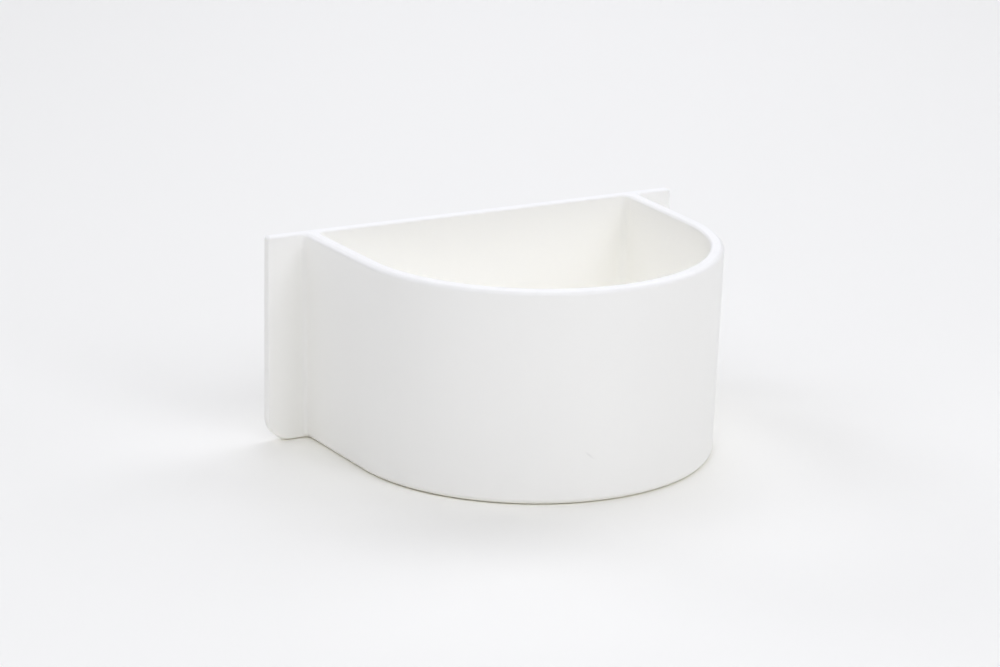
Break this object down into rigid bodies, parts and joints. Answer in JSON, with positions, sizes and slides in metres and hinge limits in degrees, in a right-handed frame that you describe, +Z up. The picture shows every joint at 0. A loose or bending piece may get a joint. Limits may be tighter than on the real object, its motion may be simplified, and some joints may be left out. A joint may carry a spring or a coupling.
{
  "type": "bird feeder cup",
  "caption": "Half-round moulded plastic feeder cup on a flat back plate whose wings drop into the guides of a bird cage; holds seed or water.",
  "frame": {"origin": "middle of the cup's bounding box, on the surface that it stands on", "axes": "+Z up, +X along the back plate to the right as seen from the bowl's front, -Y out of the bowl's round front"},
  "size_m": [0.09, 0.0606, 0.041],
  "materials": {
    "white_plastic": "satin moulded, slightly warm white"
  },
  "bodies": {
    "root": {"bowl_floor": "white_plastic", "bowl_wall": "white_plastic", "back_plate": "white_plastic", "left_wing": "white_plastic", "right_wing": "white_plastic"}
  },
  "joints": []
}
